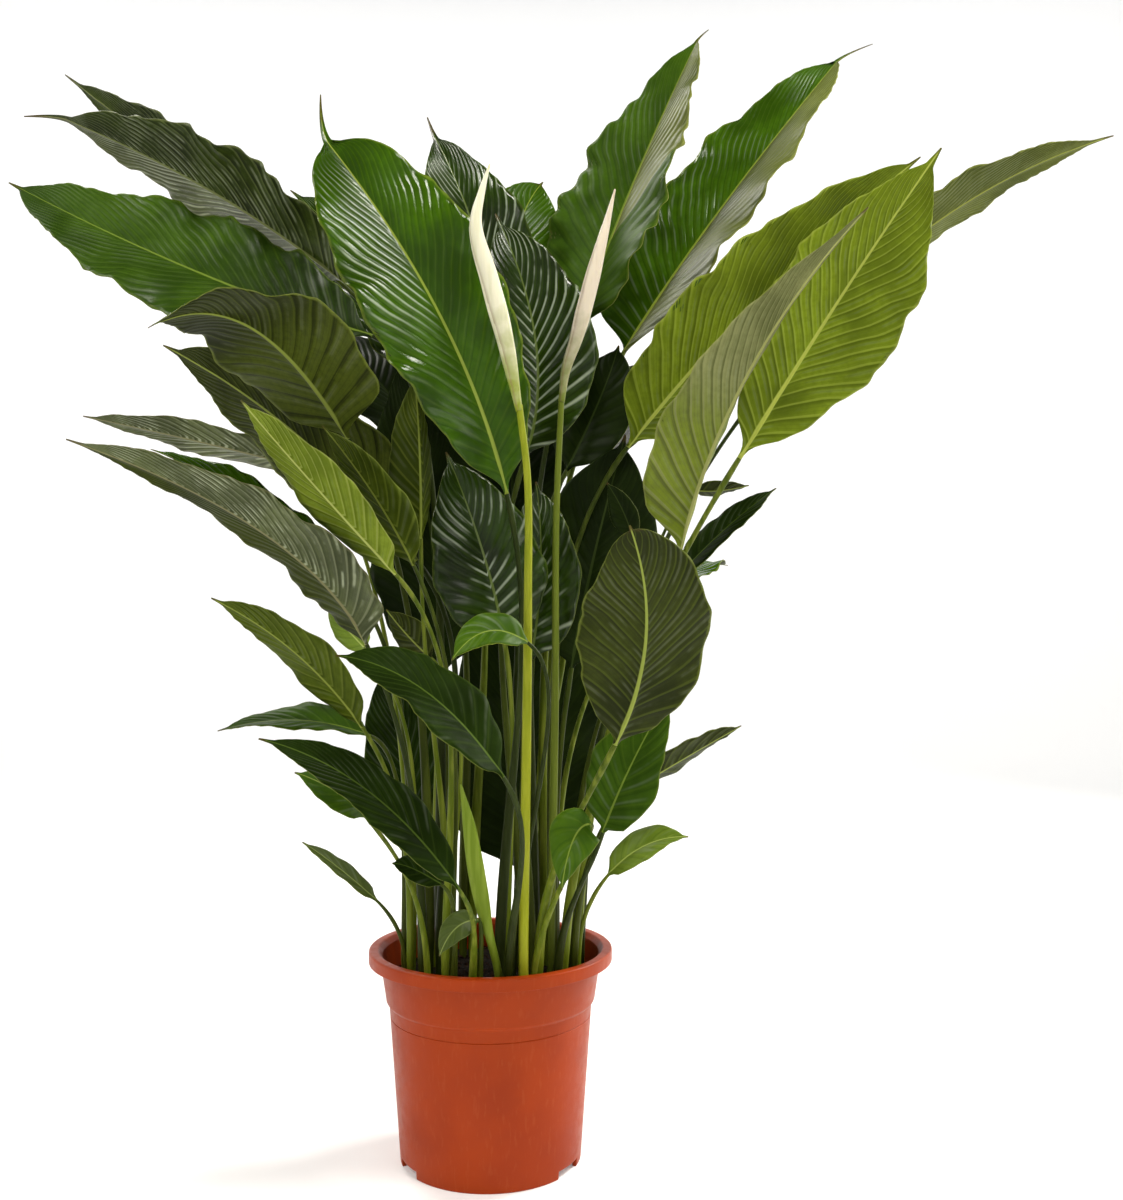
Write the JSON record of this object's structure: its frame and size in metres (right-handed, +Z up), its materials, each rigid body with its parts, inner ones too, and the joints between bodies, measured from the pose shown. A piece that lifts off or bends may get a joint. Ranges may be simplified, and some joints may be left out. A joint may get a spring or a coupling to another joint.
{
  "type": "potted peace lily",
  "caption": "Peace lily in a round plastic nursery pot: long pointed pleated leaves fanning out from the soil, with furled cream blooms on tall stalks.",
  "frame": {"origin": "centre of the pot's underside, at the middle of its central pad", "axes": "+Z up, -Y towards the front, the side that the picture shows, +X to the right in that view"},
  "size_m": [1.1456, 0.6806, 1.1525],
  "materials": {
    "pot": "satin terracotta-coloured plastic",
    "soil": "dark crumbly potting mix of bark and peat",
    "leaf_dark": "glossy dark green leaf",
    "leaf_green": "glossy mid green leaf",
    "leaf_bright": "satin yellow-green leaf",
    "leaf_olive": "satin olive underside of a leaf",
    "stalk": "satin yellow-green stalk",
    "bloom": "satin cream bract"
  },
  "bodies": {
    "root": {"pot": "pot", "soil": "soil", "leaf_far_left": "leaf_dark", "leaf_high_left_front": "leaf_olive", "leaf_high_left_back": "leaf_olive", "leaf_big_front": "leaf_green", "leaf_behind_big": "leaf_dark", "leaf_centre_mid": "leaf_dark", "leaf_centre_back": "leaf_green", "leaf_crest": "leaf_green", "leaf_high_right": "leaf_green", "leaf_right_upper": "leaf_bright", "leaf_right_big": "leaf_bright", "leaf_right_grey": "leaf_olive", "leaf_far_right": "leaf_olive", "leaf_left_arch": "leaf_olive", "leaf_left_rib": "leaf_olive", "leaf_left_olive": "leaf_olive", "leaf_left_bright": "leaf_bright", "leaf_left_upright": "leaf_olive", "leaf_left_edge": "leaf_dark", "leaf_left_behind": "leaf_green", "leaf_left_silver": "leaf_olive", "leaf_left_folded": "leaf_green", "leaf_left_flat": "leaf_green", "leaf_left_low_dark": "leaf_dark", "leaf_left_low_bright": "leaf_green", "leaf_left_tiny": "leaf_olive", "leaf_middle_dark": "leaf_dark", "leaf_yellow_small": "leaf_bright", "leaf_olive_small": "leaf_olive", "leaf_low_dark": "leaf_dark", "leaf_rim_small": "leaf_olive", "leaf_centre_dark": "leaf_dark", "leaf_centre_right": "leaf_dark", "leaf_inner_left": "leaf_dark", "leaf_inner_right": "leaf_dark", "leaf_front_small": "leaf_green", "leaf_behind_bloom": "leaf_dark", "leaf_triangle": "leaf_dark", "leaf_right_dark": "leaf_dark", "leaf_right_grey_small": "leaf_olive", "leaf_round_under": "leaf_olive", "leaf_right_low": "leaf_dark", "leaf_right_thin": "leaf_olive", "leaf_right_small": "leaf_green", "leaf_drooping": "leaf_green", "leaf_back_top": "leaf_dark", "leaf_back_left_high": "leaf_dark", "leaf_back_left_low": "leaf_green", "leaf_back_mid_high": "leaf_dark", "leaf_back_mid_low": "leaf_green", "leaf_back_right_high": "leaf_dark", "leaf_back_right_low": "leaf_green", "stalk_left": "stalk", "stalk_right": "stalk", "bloom_left": "bloom", "bloom_right": "bloom", "sheath": "leaf_bright"}
  },
  "joints": []
}
